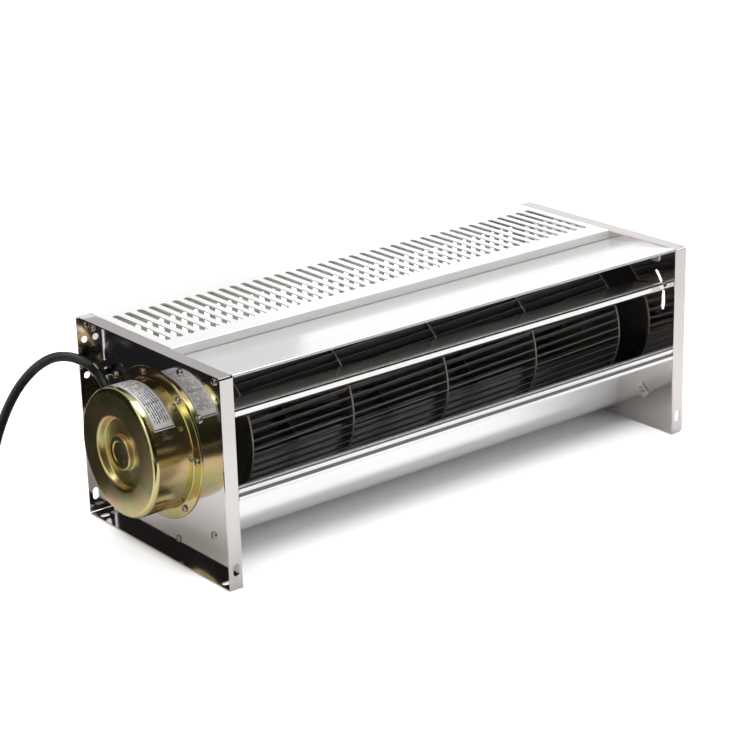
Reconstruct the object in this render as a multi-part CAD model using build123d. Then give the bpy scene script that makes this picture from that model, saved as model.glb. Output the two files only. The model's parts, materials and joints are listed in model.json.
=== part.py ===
from build123d import *
import os
from math import atan, atan2, cos, degrees, exp, hypot, radians, sin, sqrt, tan

# Cross flow fan: a long bladed impeller between two pan-shaped end plates, with a flange motor on the left.
# X runs along the fan, Y to its back, Z up. The origin is at the bottom, midway between the end plates.
# All sizes are in millimetres, all angles in degrees.

# Housing
inside_length = 585.0
body_depth = 252.0
body_height = 216.0
plate_sheet = 1.5
plate_flange = 16.0
bend_radius = 2.0
corner_relief = 2.0
cover_sheet = 1.2

# Fixing slots and holes in the flanges of the end plates
fixing_inset = 8.0
foot_slot_spacing = 218.0
foot_slot_length = 11.0
foot_slot_width = 7.0
side_slot_height = 21.0
side_slot_length = 13.0
back_hole_radius = 3.5
back_hole_heights = (151.4, 189.6)

# Impeller
axis_y = 10.0
axis_z = 110.0
impeller_radius = 75.5
drive_side_room = 60.5
bearing_side_room = 23.5
row_count = 4
disc_sheet = 1.6
ring_inner_radius = 54.0
blade_count = 48
blade_root_radius = 61.0
blade_curve_radius = 16.0
blade_turn = 55.0
blade_lean = -3.5
blade_sheet = 0.9
blade_facets = 3
row_skew = 4.0
shaft_radius = 6.0
shaft_fit = 0.03
hub_radius = 13.0
drive_hub_length = 18.0
end_hub_length = 10.5
hub_flange_radius = 22.0
hub_flange_sheet = 3.0
hub_rivet_circle = 17.5
hub_rivet_radius = 2.0
hub_rivet_count = 4
hub_rivet_head_radius = 3.2
hub_rivet_head = 1.0
set_screw_radius = 2.5

# Ball bearings
bearing_radius = 16.0
bearing_width = 10.0
bearing_wall = 3.6
bearing_gap = 0.35
seat_fit = 0.05

# Motor
motor_flange_radius = 78.0
motor_flange_sheet = 1.5
motor_radius = 66.0
motor_length = 46.0
motor_rim_radius = 5.0
motor_wall = 1.5
recess_radius = 37.0
recess_depth = 8.0
recess_taper = 2.5
dome_radius = 17.6
dome_rise = 6.0
dome_step_radius = 12.5
dome_step = 0.8
rear_cup_radius = 58.0
rear_cup_depth = 34.5
rear_cup_sheet = 1.2
rear_cup_bore = 9.0
rear_cup_inset = 1.0
motor_hole_radius = 60.0
motor_screw_circle = 72.0
motor_screw_count = 7
motor_screw_angle = 128.0
stator_length = 30.0
stator_setback = 18.0
stator_bore = 30.0
stator_yoke = 9.0
tooth_count = 6
tooth_width = 15.0
coil_thickness = 7.0
coil_gap = 0.4
coil_bore_gap = 3.0
coil_yoke_gap = 2.0
rotor_gap = 0.4
label_inset = 9.0
label_width = 23.0
label_sheet = 0.25
label_fit = 0.15
label_low_angle = 147.0
label_high_angle = 58.0

# Support bearing in the right end plate
holder_flange_radius = 33.0
holder_radius = 20.5
holder_depth = 14.5
holder_sheet = 1.2
holder_lip = 4.0
holder_hole_radius = 21.0
holder_screw_circle = 27.5
holder_screw_count = 3

# Screws
screw_shank_radius = 1.9
screw_head_radius = 3.8
screw_head_height = 2.4
screw_head_chamfer = 0.9
screw_hole_fit = 0.1
screw_tail = 2.5

# Top and rear grille
grille_depth = 149.8
grille_fold = 9.2
slot_count = 40
slot_pitch = 14.32
slot_width = 7.2
slot_length = 99.0
top_slot_inset = 27.0
rear_slot_inset = 25.0
rear_grille_bottom = 66.0
rear_grille_flange = 13.0
grille_bend = 2.0

# Front cowl
cowl_drop = 9.7
cowl_tuck = 12.0
cowl_flat = 14.2
cowl_knee_reach = 44.2
cowl_knee_drop = 5.1
cowl_front_inset = 0.6
cowl_lip = 2.4
cowl_knee_bend = 110.0
cowl_front_bend = 1.8

# Scroll, a logarithmic spiral around the impeller that ends in a straight panel and a beaded lip
scroll_gap = 7.0
scroll_start_angle = 37.5
scroll_end_angle = -141.5
scroll_growth = 0.094
scroll_arcs = 6
lip_inset = 1.8
lip_bead = 2.7
lip_groove = 2.2
lip_bead_rise = 3.2
lip_return = 5.4
lip_drop = 4.6
lip_bend = 1.9

# End tabs of the sheets
tab_width = 12.0
tab_margin = 6.0
cowl_front_tab = 30.1
cowl_front_tab_reach = 10.8
cowl_back_tab = 13.8
cowl_back_tab_reach = 9.8
rear_tab = 14.2
rear_low_tab = 10.0
rear_tab_reach = 7.4
scroll_tab_angles = (36.5, -142.7, -107.0)
scroll_tab_reaches = (4.2, 3.6, -7.0)

# Tongue, a bar that tilts about its own rolled nose
tongue_angle = 149.0
tongue_gap = 4.5
tongue_nose_radius = 9.0
tongue_reach = 40.7
tongue_rise = 17.2
tongue_band = 7.0
tongue_return = 5.0
tongue_bend = 1.5
tongue_roll = 230.0
tongue_side_gap = 0.3
cheek_sheet = 2.0
cheek_end_radius = 4.6
clamp_circle = 42.5
clamp_angle = 161.0
clamp_travel_up = 20.0
clamp_travel_down = 30.0
clamp_spare = 3.0
clamp_slot_width = 4.9
clamp_shank_radius = 2.0
clamp_head_radius = 5.0
clamp_head_height = 3.0
pivot_radius = 2.5
pivot_fit = 0.06
pivot_head_radius = 4.2
pivot_head_height = 1.8

# Cable
cable_radius = 5.0
cable_exit_angle = 33.0
cable_exit_offset = 14.0
cable_tail = 4.0
cable_first_run = 21.0
grommet_collar_radius = 9.5
grommet_collar = 2.5
grommet_neck_radius = 7.0
grommet_sleeve = 9.5
grommet_sleeve_radius = 8.0
grommet_end_radius = 6.3
grommet_fit = 0.05
clip_width = 9.0
clip_sheet = 1.0
clip_ear = 9.0
clip_fit = 0.7
coil_reach = 196.0
coil_mean_radius = 55.0
coil_half_width = 10.0
coil_height = 20.0
tie_sheet = 1.2
tie_width = 4.8
tie_angle = 205.0
tie_head = 6.0
tie_head_height = 3.0
tie_fit = 0.1
connector_radius = 10.0
connector_length = 44.0
connector_angle = 300.0
connector_ring = 12.0
connector_ring_rise = 1.0
connector_boot = 18.0
connector_boot_radius = 7.0
connector_boot_end = 6.0
pin_radius = 1.2
pin_length = 7.0
pin_circle = 4.0
pin_count = 4
socket_depth = 9.0
socket_radius = 8.0

# Places worked out from the sizes above
web_in = inside_length / 2
web_out = web_in + plate_sheet
flange_edge = web_in + plate_flange
front_y = -body_depth / 2
back_y = body_depth / 2
grille_front = back_y - grille_depth
wall_z = body_height - cover_sheet
motor_face = -(web_out + motor_length)
motor_floor = motor_face + recess_depth
pivot_distance = impeller_radius + tongue_gap + tongue_nose_radius
pivot_y = axis_y + pivot_distance * cos(radians(tongue_angle))
pivot_z = axis_z + pivot_distance * sin(radians(tongue_angle))
row_pitch = (inside_length - drive_side_room - bearing_side_room) / row_count
disc_places = [-web_in + drive_side_room + row_pitch * i for i in range(row_count + 1)]
screw_hole_radius = screw_shank_radius + screw_hole_fit


# Small helpers
def polar(radius, angle, centre=(axis_y, axis_z)):
    return (centre[0] + radius * cos(radians(angle)), centre[1] + radius * sin(radians(angle)))


def rod(x_start, x_end, radius, centre=(axis_y, axis_z)):
    face = Plane.YZ.offset(x_start) * Pos(*centre) * Circle(radius)
    return extrude(face, amount=x_end - x_start)


def tube(x_start, x_end, outer, inner, centre=(axis_y, axis_z)):
    face = Plane.YZ.offset(x_start) * Pos(*centre) * (Circle(outer) - Circle(inner))
    return extrude(face, amount=x_end - x_start)


def turned(outline):
    return revolve(outline, axis=Axis((0, axis_y, axis_z), (1, 0, 0)))


def side_section(*points):
    # A closed section in the plane through the impeller's axis, points as (x, radius)
    plane = Plane((0, axis_y, axis_z), x_dir=(1, 0, 0), z_dir=(0, -1, 0))
    return plane * make_face(Polyline(*points, close=True))


def section_corner(section, x, radius):
    # The corner of such a section that lies at the given place
    spot = Vector(x, axis_y, axis_z + radius)
    return min(section.vertices(), key=lambda vertex: (Vector(vertex) - spot).length)


def sheet_along(path, side, length):
    outline = make_face(offset(path, amount=cover_sheet, side=side))
    return extrude(Plane.YZ * outline, amount=length / 2, both=True)


def both_ends(shape):
    return [shape, mirror(shape, about=Plane.YZ)]


def end_tab(root, screw):
    # A flat ear against the right end plate, from a sheet's edge to just past its screw
    reach = hypot(screw[0] - root[0], screw[1] - root[1]) + tab_margin
    turn = degrees(atan2(screw[1] - root[1], screw[0] - root[0]))
    ear = Rectangle(reach, tab_width, align=(Align.MIN, Align.CENTER))
    ear = fillet(ear.vertices().group_by(Axis.X)[-1], radius=tab_width / 4)
    face = Plane.YZ.offset(web_in - cover_sheet) * Pos(*root) * Rot(0, 0, turn) * ear
    hole = rod(web_in - 2 * cover_sheet, web_in, screw_hole_radius, screw)
    return extrude(face, amount=cover_sheet) - hole


def with_tabs(sheet, tabs):
    for root, screw in tabs:
        for ear in both_ends(end_tab(root, screw)):
            sheet += ear
    return sheet


def screw(x_seat, depth, centre):
    # A pan head screw whose head sits on x_seat and whose shank points to the left
    head = rod(x_seat, x_seat + screw_head_height, screw_head_radius, centre)
    head = chamfer(head.edges().group_by(Axis.X)[-1], length=screw_head_chamfer)
    return head + rod(x_seat - depth, x_seat, screw_shank_radius, centre)


def at_angles(count, start, radius):
    return [polar(radius, start + 360 / count * i) for i in range(count)]


def ring_of_holes(x_start, x_end, radius, places):
    return [rod(x_start, x_end, radius, place) for place in places]


# Profiles of the sheets
scroll_start_radius = impeller_radius + scroll_gap
scroll_step = (scroll_end_angle - scroll_start_angle) / scroll_arcs
spiral_lead = degrees(atan(scroll_growth))


def scroll_radius(angle):
    return scroll_start_radius * exp(scroll_growth * radians(scroll_start_angle - angle))


def scroll_path():
    # Tangent arcs that follow the spiral, the straight panel, then two beads and a return
    pieces = []
    place = polar(scroll_start_radius, scroll_start_angle)
    heading = scroll_start_angle - 90 + spiral_lead
    for i in range(scroll_arcs):
        middle = scroll_start_angle + scroll_step * (i + 0.5)
        bend = scroll_radius(middle) * sqrt(1 + scroll_growth**2)
        direction = (cos(radians(heading)), sin(radians(heading)))
        arc = JernArc(place, direction, bend, scroll_step)
        pieces.append(arc)
        place = tuple(arc @ 1)[:2]
        heading += scroll_step
    lip_y = front_y + lip_inset
    panel = (place[0] - lip_y) / -cos(radians(heading))
    lip_z = place[1] + panel * sin(radians(heading))
    groove_z = lip_z + lip_bead + lip_bead_rise
    crest_z = groove_z + lip_bead_rise
    top_z = crest_z + lip_bead
    return_y = lip_y + lip_return
    pieces.append(FilletPolyline(
        place, (lip_y, lip_z), (lip_y, lip_z + lip_bead), (lip_y + lip_groove, groove_z), (lip_y, crest_z),
        (lip_y, top_z), (return_y, top_z), (return_y, top_z - lip_drop), radius=lip_bend))
    return Wire([edge for piece in pieces for edge in piece.edges()])


def cowl_path():
    low = body_height - cowl_drop
    knee = (grille_front - cowl_knee_reach, body_height - cowl_knee_drop)
    lip_y = front_y + cowl_front_inset
    return FilletPolyline(
        (grille_front + cowl_tuck, low), (grille_front - cowl_flat, low), knee, (lip_y, body_height),
        (lip_y, body_height - cowl_lip), radius=[cowl_knee_bend, cowl_knee_bend, cowl_front_bend])


def tongue_path():
    # From the return of the front band over its top, back to the nose and around it
    band_y = pivot_y - tongue_reach
    top_z = pivot_z + tongue_rise
    low_z = top_z - tongue_band
    span = hypot(tongue_reach, tongue_rise)
    tangent = sqrt(span**2 - tongue_nose_radius**2)
    heading = atan2(-tongue_rise, tongue_reach) + atan2(tongue_nose_radius, tangent)
    meet = (band_y + tangent * cos(heading), top_z + tangent * sin(heading))
    band = FilletPolyline(
        (band_y + tongue_return, low_z), (band_y, low_z), (band_y, top_z), meet, radius=tongue_bend)
    roll = JernArc(meet, (cos(heading), sin(heading)), tongue_nose_radius, -tongue_roll)
    return Wire([edge for piece in (band, roll) for edge in piece.edges()])


# Places of the screws in the end plates, each with the point where its tab leaves the sheet
def cowl_height(y):
    # The middle of the cowl's sheet on its slope between the knee and the front edge
    knee_y = grille_front - cowl_knee_reach
    share = (y - front_y - cowl_front_inset) / (knee_y - front_y - cowl_front_inset)
    return body_height - share * cowl_knee_drop - cover_sheet / 2


def down_tab(y, z, reach):
    return ((y, z), (y, z - reach))


def rear_wall_tab(z):
    y = back_y - cover_sheet / 2
    return ((y, z), (y - rear_tab_reach, z))


def scroll_tab(angle, reach):
    root = scroll_radius(angle) + cover_sheet / 2
    return (polar(root, angle), polar(root + reach, angle))


cowl_tabs = [
    down_tab(front_y + cowl_front_tab, cowl_height(front_y + cowl_front_tab), cowl_front_tab_reach),
    down_tab(grille_front - cowl_back_tab, body_height - cowl_drop - cover_sheet / 2, cowl_back_tab_reach)]
rear_tabs = [rear_wall_tab(body_height - rear_tab), rear_wall_tab(rear_grille_bottom + rear_low_tab)]
scroll_tabs = [scroll_tab(*facts) for facts in zip(scroll_tab_angles, scroll_tab_reaches)]
plate_screws = [screw_place for _, screw_place in cowl_tabs + rear_tabs + scroll_tabs]
motor_screws = at_angles(motor_screw_count, motor_screw_angle, motor_screw_circle)
holder_screws = at_angles(holder_screw_count, 90, holder_screw_circle)
hub_rivet_places = at_angles(hub_rivet_count, 45, hub_rivet_circle)


# Housing
def end_plate():
    middle = body_height / 2
    outline = Rectangle(body_depth, body_height)
    pan = extrude(Plane.YZ.offset(web_in) * Pos(0, middle) * outline, plate_flange)
    pan = fillet(pan.edges().group_by(Axis.X)[0], radius=bend_radius)
    hollow = Rectangle(body_depth - 2 * plate_sheet, body_height - 2 * plate_sheet)
    pan -= extrude(Plane.YZ.offset(web_out) * Pos(0, middle) * hollow, plate_flange)
    for y in (front_y, back_y):
        for z in (0, body_height):
            pan -= Pos(flange_edge, y, z) * Box(
                2 * (flange_edge - web_out), 2 * corner_relief, 2 * corner_relief)
    slot_x = web_in + fixing_inset
    foot = Pos(slot_x, 0) * SlotOverall(foot_slot_length, foot_slot_width)
    for side in (-1, 1):
        pan -= Pos(0, side * foot_slot_spacing / 2) * extrude(foot, amount=body_height / 4)
    side_slot = Plane.XZ * Pos(slot_x, side_slot_height) * SlotOverall(
        side_slot_length, foot_slot_width, rotation=90)
    pan -= extrude(side_slot, amount=body_depth, both=True)
    for z in back_hole_heights:
        pan -= extrude(Plane.XZ * Pos(slot_x, z) * Circle(back_hole_radius), amount=-body_depth)
    pan -= ring_of_holes(web_in - plate_sheet, flange_edge, screw_hole_radius, plate_screws)
    low = clamp_angle - clamp_travel_up - clamp_spare
    high = clamp_angle + clamp_travel_down + clamp_spare
    groove = CenterArc((pivot_y, pivot_z), clamp_circle, low, high - low)
    pan -= extrude(Plane.YZ.offset(web_in - plate_sheet) * SlotArc(groove, clamp_slot_width), plate_flange)
    return pan - rod(web_in - plate_sheet, flange_edge, pivot_radius, (pivot_y, pivot_z))


def left_end_plate():
    plate = mirror(end_plate(), about=Plane.YZ)
    plate -= rod(-flange_edge, -web_in + plate_sheet, motor_hole_radius)
    plate -= ring_of_holes(-flange_edge, -web_in + plate_sheet, screw_hole_radius, motor_screws)
    return plate - clip_screw_hole()


def right_end_plate():
    plate = end_plate() - rod(web_in - plate_sheet, flange_edge, holder_hole_radius)
    return plate - ring_of_holes(web_in - plate_sheet, flange_edge, screw_hole_radius, holder_screws)


def slot_row(plane, inset_middle):
    slot = SlotOverall(slot_length, slot_width, rotation=90)
    row = GridLocations(slot_pitch, 0, slot_count, 1)
    return [plane * place * Pos(0, inset_middle) * slot for place in row]


def top_grille():
    path = FilletPolyline(
        (grille_front, body_height - grille_fold), (grille_front, body_height), (back_y, body_height),
        radius=grille_bend)
    sheet = sheet_along(path, Side.RIGHT, inside_length)
    middle = back_y - top_slot_inset - slot_length / 2
    for slot in slot_row(Plane.XY.offset(body_height - 2 * cover_sheet), middle):
        sheet -= extrude(slot, amount=3 * cover_sheet)
    return sheet


def rear_grille():
    path = FilletPolyline(
        (back_y - rear_grille_flange, rear_grille_bottom), (back_y, rear_grille_bottom), (back_y, wall_z),
        (back_y - rear_grille_flange, wall_z), radius=grille_bend)
    sheet = sheet_along(path, Side.LEFT, inside_length)
    middle = body_height - rear_slot_inset - slot_length / 2
    for slot in slot_row(Plane.XZ.offset(-back_y - cover_sheet), middle):
        sheet -= extrude(slot, amount=3 * cover_sheet)
    return with_tabs(sheet, rear_tabs)


def front_cowl():
    return with_tabs(sheet_along(cowl_path(), Side.LEFT, inside_length), cowl_tabs)


def scroll_sheet():
    return with_tabs(sheet_along(scroll_path(), Side.RIGHT, inside_length), scroll_tabs)


def frame_screws():
    depth = plate_sheet + cover_sheet + screw_tail
    return [end for place in plate_screws for end in both_ends(screw(web_out, depth, place))]


def tongue_pivots():
    # Rivets in the end plates that carry the cheeks of the tongue
    place = (pivot_y, pivot_z)
    pin = rod(web_in - tongue_side_gap - cheek_sheet, web_out, pivot_radius - pivot_fit, place)
    head = rod(web_out, web_out + pivot_head_height, pivot_head_radius, place)
    return both_ends(pin + chamfer(head.edges().group_by(Axis.X)[-1], length=pivot_head_height / 3))


# Tongue
def tongue_bar():
    length = inside_length - 2 * (tongue_side_gap + cheek_sheet)
    bar = sheet_along(tongue_path(), Side.RIGHT, length)
    clamp = polar(clamp_circle, clamp_angle, (pivot_y, pivot_z))
    nose = Pos(pivot_y, pivot_z) * Circle(tongue_nose_radius - cover_sheet / 2)
    cheek = make_hull((nose + Pos(*clamp) * Circle(cheek_end_radius)).edges())
    cheek -= Pos(pivot_y, pivot_z) * Circle(pivot_radius)
    cheek -= Pos(*clamp) * Circle(clamp_shank_radius)
    plate = extrude(Plane.YZ.offset(length / 2) * cheek, amount=cheek_sheet)
    for end in both_ends(plate):
        bar += end
    return bar


def tongue_clamp_screws():
    place = polar(clamp_circle, clamp_angle, (pivot_y, pivot_z))
    seat = web_out + tongue_side_gap
    shank = rod(web_in - tongue_side_gap - cheek_sheet, seat, clamp_shank_radius, place)
    head = rod(seat, seat + clamp_head_height, clamp_head_radius, place)
    return both_ends(shank + chamfer(head.edges().group_by(Axis.X)[-1], length=clamp_head_height / 4))


# Impeller
def blade_section():
    # Facets along an arc that leaves the root almost radially and leans forward at the tip
    centre = (blade_curve_radius * cos(radians(blade_lean)),
              blade_root_radius - blade_curve_radius * sin(radians(blade_lean)))
    headings = [blade_lean + blade_turn / blade_facets * i for i in range(blade_facets + 1)]

    def point(radius, heading):
        return (centre[0] - radius * cos(radians(heading)), centre[1] + radius * sin(radians(heading)))
    outer = [point(blade_curve_radius + blade_sheet / 2, heading) for heading in headings]
    inner = [point(blade_curve_radius - blade_sheet / 2, heading) for heading in reversed(headings)]
    return make_face(Polyline(*outer, *inner, close=True))


def blade_row(index):
    # Blades between two discs; each row carries on the slow twist of the one before it
    x_start = disc_places[index] + disc_sheet / 2
    x_end = disc_places[index + 1] - disc_sheet / 2
    middle_radius = (blade_root_radius + impeller_radius) / 2
    drift = middle_radius * radians(row_skew)
    section = Plane.YZ.offset(x_start) * Pos(-drift / 2, 0) * blade_section()
    blade = extrude(section, amount=hypot(x_end - x_start, drift), dir=(x_end - x_start, drift, 0))
    blade = Rot(-row_skew * (index + 0.5), 0, 0) * blade
    return [Pos(0, axis_y, axis_z) * Rot(360 / blade_count * i, 0, 0) * blade for i in range(blade_count)]


def impeller_disc(index):
    place = disc_places[index]
    is_end = index in (0, row_count)
    inner = shaft_radius + shaft_fit if is_end else ring_inner_radius
    disc = tube(place - disc_sheet / 2, place + disc_sheet / 2, impeller_radius, inner)
    if is_end:
        disc -= ring_of_holes(place - disc_sheet, place + disc_sheet, hub_rivet_radius, hub_rivet_places)
    return disc


def hub(face, side, length):
    # A flanged hub on the outer face of an end disc; side is -1 at the motor and 1 at the support bearing
    def span(a, b):
        return sorted((face + side * a, face + side * b))
    body = rod(*span(0, hub_flange_sheet), hub_flange_radius)
    body += rod(*span(hub_flange_sheet, length), hub_radius)
    body -= rod(*span(-1, length + 1), shaft_radius + shaft_fit)
    body -= ring_of_holes(*span(-1, hub_flange_sheet + 1), hub_rivet_radius, hub_rivet_places)
    middle = face + side * (hub_flange_sheet + length) / 2
    return body - Pos(middle, axis_y, axis_z) * extrude(Circle(set_screw_radius), amount=hub_radius + 1)


left_hub_face = disc_places[0] - disc_sheet / 2
right_hub_face = disc_places[-1] + disc_sheet / 2
hub_ends = ((left_hub_face, -1, drive_hub_length), (right_hub_face, 1, end_hub_length))


def hub_rivets():
    rivets = []
    for face, side, _ in hub_ends:
        low, high = sorted((face + side * hub_flange_sheet, face - side * disc_sheet))
        for place in hub_rivet_places:
            rivet = rod(low, high, hub_rivet_radius, place)
            rivet += rod(low - hub_rivet_head, low, hub_rivet_head_radius, place)
            rivets.append(rivet + rod(high, high + hub_rivet_head, hub_rivet_head_radius, place))
    return rivets


def hub_set_screws():
    screws = []
    length = hub_radius - shaft_radius - shaft_fit
    pin = extrude(Circle(set_screw_radius), amount=length)
    pin -= extrude(Plane.XY.offset(length / 2) * RegularPolygon(set_screw_radius / 2, 6), amount=length)
    for face, side, hub_length in hub_ends:
        middle = face + side * (hub_flange_sheet + hub_length) / 2
        screws.append(Pos(middle, axis_y, axis_z + shaft_radius + shaft_fit) * pin)
    return screws


# Ball bearings: front and rear of the motor, and the support bearing at the right end
front_bearing_x = motor_floor - dome_rise + motor_wall
rear_bearing_x = -web_in + rear_cup_depth - bearing_width - rear_cup_sheet
end_bearing_x = web_out + holder_sheet - holder_depth + holder_sheet
bearing_starts = (front_bearing_x, rear_bearing_x, end_bearing_x)


def bearing_outer_rings():
    inner = bearing_radius - bearing_wall
    return [tube(x, x + bearing_width, bearing_radius, inner) for x in bearing_starts]


def bearing_inner_rings():
    outer = bearing_radius - bearing_wall - bearing_gap
    return [tube(x, x + bearing_width, outer, shaft_radius + shaft_fit) for x in bearing_starts]


def motor_shaft():
    return rod(front_bearing_x, left_hub_face + disc_sheet, shaft_radius)


def end_shaft():
    return rod(right_hub_face - disc_sheet, end_bearing_x + bearing_width, shaft_radius)


# Motor
def motor_front_cup():
    # The pressed front cup: flange, rounded rim, recess and the dome over the front bearing
    seat = -web_out
    flange_face = seat - motor_flange_sheet
    dome_face = motor_floor - dome_rise
    outside = side_section(
        (seat, 0), (seat, motor_flange_radius), (flange_face, motor_flange_radius),
        (flange_face, motor_radius), (motor_face, motor_radius), (motor_face, recess_radius),
        (motor_floor, recess_radius - recess_taper), (motor_floor, dome_radius), (dome_face, dome_radius),
        (dome_face, dome_step_radius), (dome_face + dome_step, dome_step_radius - dome_step),
        (dome_face + dome_step, 0))
    inner_face = motor_face + motor_wall
    inner_floor = motor_floor + motor_wall
    inner_radius = motor_radius - motor_wall
    pocket = bearing_radius + seat_fit
    inside = side_section(
        (seat, 0), (seat, inner_radius), (inner_face + motor_wall, inner_radius),
        (inner_face, inner_radius - motor_wall), (inner_face, recess_radius + motor_wall),
        (inner_floor, recess_radius + motor_wall - recess_taper), (inner_floor, pocket),
        (dome_face + motor_wall, pocket), (dome_face + motor_wall, 0))
    outside = fillet(section_corner(outside, motor_face, motor_radius), radius=motor_rim_radius)
    outside = fillet(section_corner(outside, motor_face, recess_radius), radius=motor_rim_radius / 2)
    outside = fillet(section_corner(outside, dome_face, dome_radius), radius=motor_wall)
    shell = turned(outside) - turned(inside)
    shell -= ring_of_holes(flange_face - 1, seat + 1, screw_hole_radius, motor_screws)
    return shell - grommet_hole()


def motor_label():
    # A foil that lies round the front cup, over its top and down its front
    start = motor_face + label_inset
    inner = motor_radius + label_fit
    ring = tube(start, start + label_width, inner + label_sheet, inner)
    spread = Plane.YZ.offset(start) * Pos(axis_y, axis_z) * make_face(Polyline(
        (0, 0), polar(2 * motor_radius, label_high_angle, (0, 0)), (0, 3 * motor_radius),
        polar(2 * motor_radius, label_low_angle, (0, 0)), close=True))
    return ring & extrude(spread, amount=label_width)


def motor_rear_cup():
    seat = -web_in
    face = seat + rear_cup_depth
    flange = seat + rear_cup_sheet
    rim = motor_flange_radius - rear_cup_inset
    inner = rear_cup_radius - rear_cup_sheet
    pocket = bearing_radius + seat_fit
    wall = face - rear_cup_sheet
    cup = turned(side_section(
        (seat, inner), (seat, rim), (flange, rim), (flange, rear_cup_radius), (wall, rear_cup_radius),
        (face, inner), (face, rear_cup_bore), (wall, rear_cup_bore), (wall, pocket),
        (rear_bearing_x, pocket), (rear_bearing_x, pocket + rear_cup_sheet),
        (wall, pocket + rear_cup_sheet), (wall, inner)))
    return cup - ring_of_holes(seat - 1, flange + 1, screw_hole_radius, motor_screws)


def motor_flange_screws():
    depth = motor_flange_sheet + plate_sheet + rear_cup_sheet + screw_tail
    seat = web_out + motor_flange_sheet
    return [mirror(screw(seat, depth, place), about=Plane.YZ) for place in motor_screws]


stator_end = -web_in + rear_cup_depth - stator_setback
stator_start = stator_end - stator_length
stator_radius = rear_cup_radius - rear_cup_sheet - seat_fit


def tooth_places():
    return [Pos(0, axis_y, axis_z) * Rot(360 / tooth_count * i, 0, 0) for i in range(tooth_count)]


def stator_core():
    # A laminated ring with six teeth that point at the rotor
    core = tube(stator_start, stator_end, stator_radius, stator_radius - stator_yoke)
    middle = (stator_start + stator_end) / 2
    reach = stator_radius - stator_yoke / 2
    for place in tooth_places():
        core += place * Pos(middle, reach / 2, 0) * Box(stator_length, reach, tooth_width)
    return core - rod(stator_start - 1, stator_end + 1, stator_bore)


def stator_coils():
    middle = (stator_start + stator_end) / 2
    low = stator_bore + coil_bore_gap
    high = stator_radius - stator_yoke - coil_yoke_gap
    hole = Box(stator_length + 2 * coil_gap, 2 * stator_radius, tooth_width + 2 * coil_gap)
    wound = Box(stator_length + 2 * coil_thickness, high - low, tooth_width + coil_thickness)
    coil = Pos(middle, (low + high) / 2, 0) * (wound - hole)
    return [place * coil for place in tooth_places()]


def motor_rotor():
    return tube(stator_start, stator_end, stator_bore - rotor_gap, shaft_radius + shaft_fit)


# Support bearing
def bearing_holder():
    face = web_out
    outer_face = face + holder_sheet
    bottom = outer_face - holder_depth
    cup = turned(side_section(
        (face, holder_radius), (face, holder_flange_radius), (outer_face, holder_flange_radius),
        (outer_face, holder_radius - holder_sheet), (bottom + holder_sheet, holder_radius - holder_sheet),
        (bottom + holder_sheet, holder_radius - holder_lip), (bottom, holder_radius - holder_lip),
        (bottom, holder_radius)))
    return cup - ring_of_holes(face - 1, outer_face + 1, screw_hole_radius, holder_screws)


def bearing_rubber_ring():
    outer = holder_radius - holder_sheet - seat_fit
    return tube(end_bearing_x, end_bearing_x + bearing_width, outer, bearing_radius + seat_fit)


def bearing_holder_screws():
    depth = holder_sheet + plate_sheet + screw_tail
    return [screw(web_out + holder_sheet, depth, place) for place in holder_screws]


# Cable
def cable_exit(radius):
    y, z = polar(radius, cable_exit_angle)
    return (-(web_out + cable_exit_offset), y, z)


def exit_plane(radius):
    turn = radians(cable_exit_angle)
    return Plane(cable_exit(radius), x_dir=(1, 0, 0), z_dir=(0, cos(turn), sin(turn)))


def grommet_hole():
    plane = exit_plane(motor_radius - 2 * motor_wall)
    return extrude(plane * Circle(grommet_neck_radius), amount=4 * motor_wall)


def cable_grommet():
    # A rubber bush: neck in the cup's wall, collar outside it, then a tapered sleeve
    neck_plane = exit_plane(motor_radius - 2 * motor_wall)
    collar_top = motor_radius + grommet_collar
    neck = extrude(neck_plane * Circle(grommet_neck_radius - grommet_fit), amount=3 * motor_wall)
    collar = extrude(exit_plane(motor_radius - motor_wall) * Circle(grommet_collar_radius),
                     amount=motor_wall + grommet_collar)
    cup = rod(motor_face, -web_out, motor_radius + grommet_fit)
    sleeve = loft([exit_plane(collar_top) * Circle(grommet_sleeve_radius),
                   exit_plane(collar_top + grommet_sleeve) * Circle(grommet_end_radius)])
    passage = extrude(neck_plane.offset(-1) * Circle(cable_radius), amount=grommet_collar_radius * 4)
    return neck + (collar - cup) + sleeve - passage


# The cable's route, first past its clip to the back edge of the left end plate,
# as (out from the plate, share of the way from the motor to the edge, height)
cable_clipped = [(9.5, 0.35, 164.5), (13.5, 0.70, 170.0), (24.0, 1.02, 175.5)]
# Then down to the coil, as (out from the plate, behind the edge, height)
cable_fall = [
    (39.0, 12.5, 176.5), (57.0, 19.0, 167.5), (75.0, 25.5, 149.0), (91.0, 31.0, 116.0), (101.0, 37.0, 76.0),
    (111.0, 44.0, 38.0), (126.0, 51.5, 13.0), (151.0, 57.5, cable_radius),
    (180.0, 60.0, cable_radius + tie_sheet)]
cable_start_y = cable_exit(motor_radius + cable_first_run)[1]
cable_room = back_y - cable_start_y
cable_points = (
    [cable_exit(motor_radius - cable_tail), cable_exit(motor_radius + cable_first_run)]
    + [(-web_out - out, cable_start_y + share * cable_room, z) for out, share, z in cable_clipped]
    + [(-web_out - out, back_y + behind, z) for out, behind, z in cable_fall])


def cable_bends():
    # Each bend is as large as the two runs beside it allow
    spots = [Vector(*point) for point in cable_points]
    bends = []
    for a, b, c in zip(spots, spots[1:], spots[2:]):
        turn = (b - a).get_angle(c - b)
        bends.append(0.45 * min((b - a).length, (c - b).length) / tan(radians(turn / 2)))
    return bends


def cable_path():
    return FilletPolyline(*cable_points, radius=cable_bends())


def cable_tube():
    path = cable_path()
    start = Plane(path @ 0, z_dir=path % 0)
    return sweep(start * Circle(cable_radius), path=path)


coil_centre = (-web_out - coil_reach, back_y)
coil_plane_z = tie_sheet + coil_height / 2


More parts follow.
